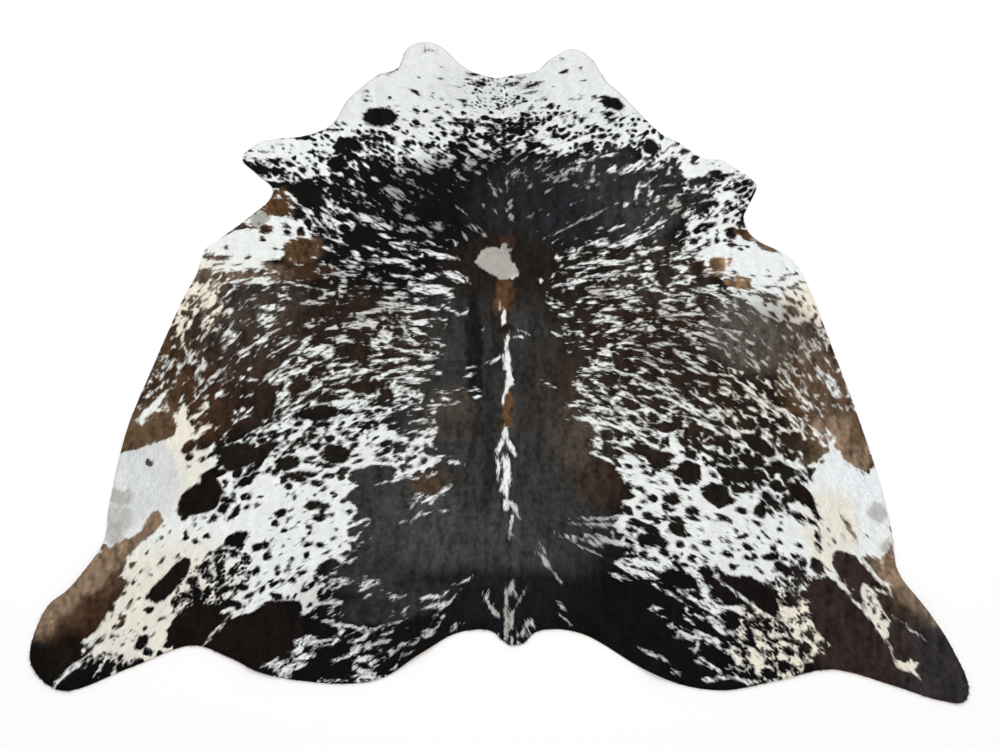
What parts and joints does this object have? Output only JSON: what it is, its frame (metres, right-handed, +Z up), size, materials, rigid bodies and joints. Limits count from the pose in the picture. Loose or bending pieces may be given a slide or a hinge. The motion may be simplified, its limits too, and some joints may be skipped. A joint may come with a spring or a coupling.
{
  "type": "cowhide rug",
  "caption": "Whole cowhide with its short hair on, laid flat as a floor rug: neck, forelegs, belly, hind legs and tail stub in one sheet with low folds at its rim.",
  "frame": {"origin": "on the floor, under the middle of the rug's length and width", "axes": "+Z up from the floor through the hair side, +Y along the spine toward the neck, +X toward the hide's right side as seen from above with the neck ahead"},
  "size_m": [2.0645, 2.3043, 0.017],
  "materials": {
    "hair_coat": "short glossy hair, black, dark brown and white in patches and flecks",
    "flesh_side": "undyed suede flesh side with a tan cut edge"
  },
  "bodies": {
    "root": {"hide": "hair_coat"}
  },
  "joints": []
}
